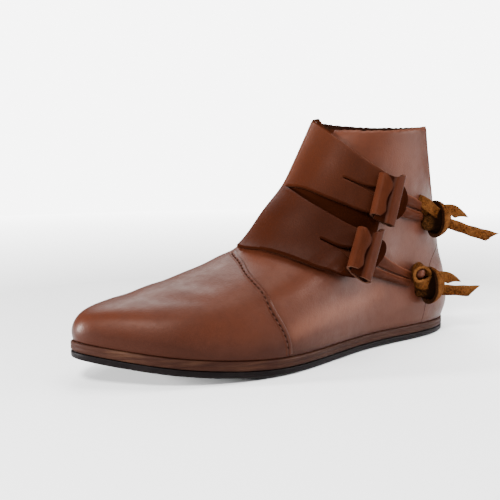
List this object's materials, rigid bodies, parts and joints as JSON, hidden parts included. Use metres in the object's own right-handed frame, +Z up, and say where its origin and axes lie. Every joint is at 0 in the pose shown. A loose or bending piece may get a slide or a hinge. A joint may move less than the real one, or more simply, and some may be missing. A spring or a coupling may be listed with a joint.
{
  "type": "wrapped ankle boot",
  "caption": "Low leather boot for the left foot on a flat leather and rubber sole, wrapped over the front and buttoned at the side with rolled toggles and suede ties.",
  "frame": {"origin": "on the floor, under the middle of the boot's box, without the ties", "axes": "+Y from toe to heel, +X to the outer side of the foot, +Z up"},
  "size_m": [0.1024, 0.3004, 0.1515],
  "materials": {
    "rubber": "black, matt",
    "sole_leather": "brown, worn at the edge",
    "upper_leather": "chestnut brown, satin",
    "suede": "golden brown, napped"
  },
  "bodies": {
    "root": {"outsole": "rubber", "midsole": "sole_leather", "insole": "sole_leather", "upper": "upper_leather", "vamp_seam": "upper_leather", "wrap_flap": "upper_leather", "thong_upper": "upper_leather", "thong_lower": "upper_leather", "toggle_upper": "upper_leather", "toggle_lower": "upper_leather", "tie_upper_knot": "suede", "tie_upper_long_end": "suede", "tie_upper_short_end": "suede", "tie_lower_knot": "suede", "tie_lower_long_end": "suede", "tie_lower_short_end": "suede"}
  },
  "joints": []
}
